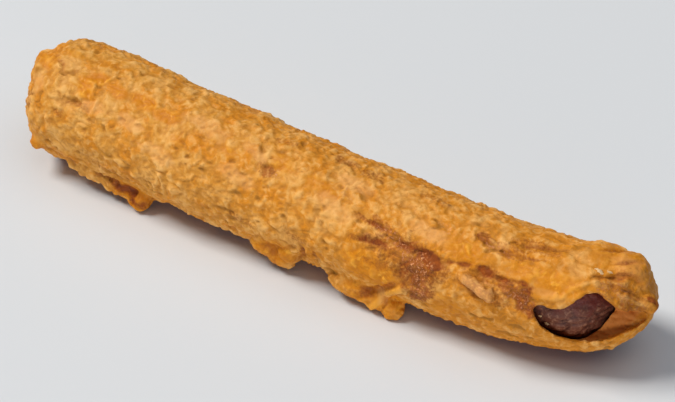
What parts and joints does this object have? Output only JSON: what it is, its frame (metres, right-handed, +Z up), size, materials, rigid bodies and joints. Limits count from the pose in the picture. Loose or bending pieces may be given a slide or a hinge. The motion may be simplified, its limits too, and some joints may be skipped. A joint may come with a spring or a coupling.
{
  "type": "battered saveloy",
  "caption": "Deep-fried battered sausage: a cooked saveloy in a knobbly golden crust, with drips along one side and one end torn open over the dark skin.",
  "frame": {"origin": "bottom centre of the whole object, on the flat strip that it lies on", "axes": "+X along the log towards its open end, -Y to the side with the drips, +Z up"},
  "size_m": [0.2192, 0.0418, 0.0386],
  "materials": {
    "fried_batter": "matte, slightly oily, golden fried crust",
    "saveloy_skin": "moist, dark reddish-brown skin"
  },
  "bodies": {
    "root": {"batter": "fried_batter", "saveloy": "saveloy_skin"}
  },
  "joints": []
}
